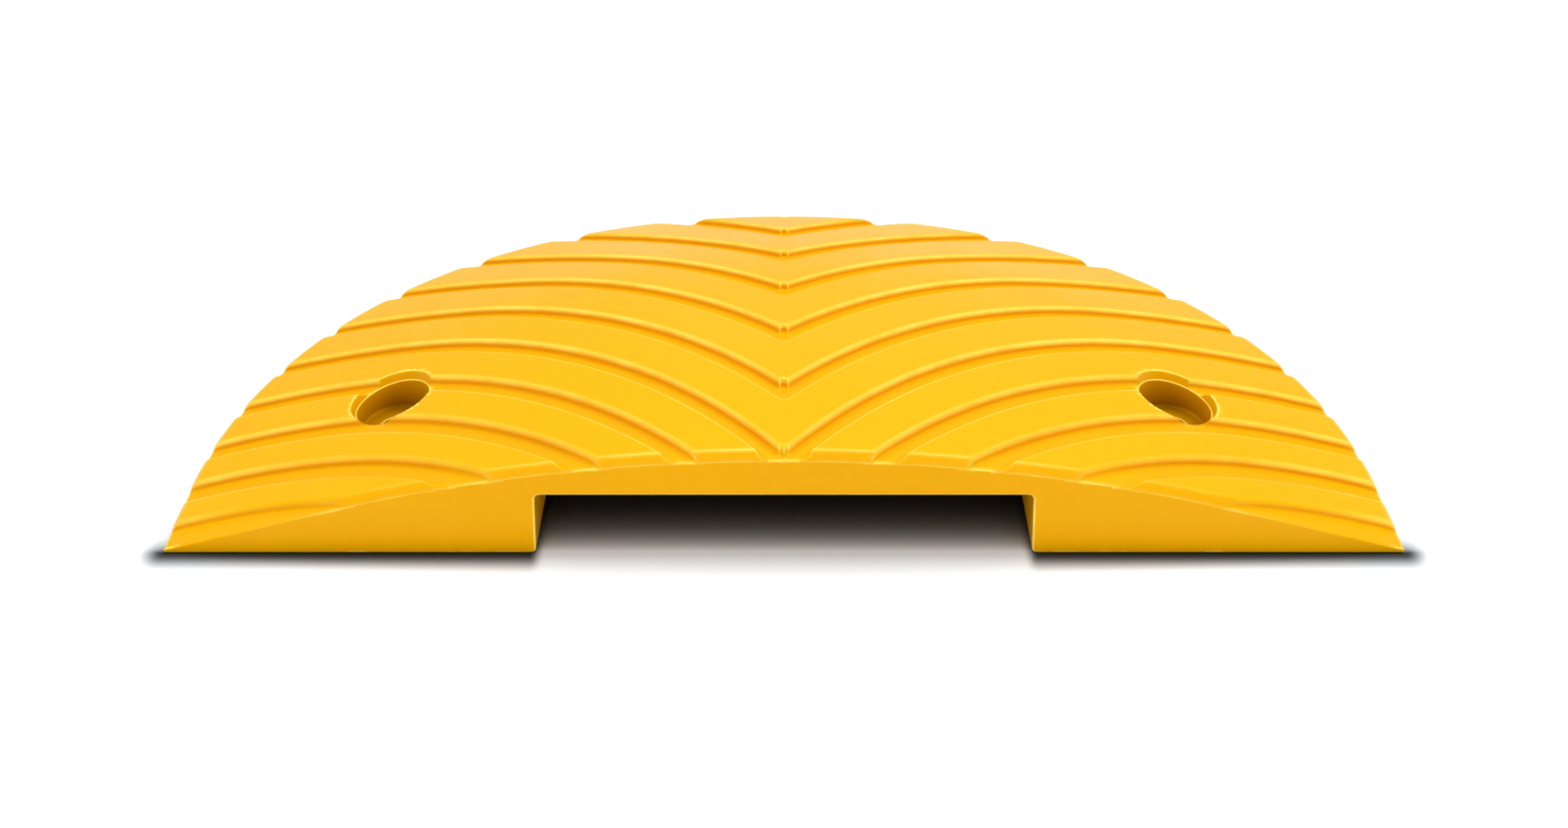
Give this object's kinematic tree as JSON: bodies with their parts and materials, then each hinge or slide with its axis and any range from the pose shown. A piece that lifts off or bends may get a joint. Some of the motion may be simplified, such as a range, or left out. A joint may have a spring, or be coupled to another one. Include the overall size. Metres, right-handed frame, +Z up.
{
  "type": "speed bump end cap",
  "caption": "Half-round ribbed rubber end cap of a modular speed bump, with a flat mating face, a cable channel and counterbored bolt holes.",
  "frame": {"origin": "bottom centre of the bounding box, on the ground", "axes": "+X along the flat mating face, +Y from the mating face towards the round rim, +Z up"},
  "size_m": [0.5, 0.25, 0.0527],
  "materials": {
    "yellow_rubber": "semi-gloss moulded, dyed through",
    "washer_steel": "zinc plated, dull"
  },
  "bodies": {
    "root": {"cap_body": "yellow_rubber", "load_washer_left": "washer_steel", "load_washer_right": "washer_steel"}
  },
  "joints": []
}
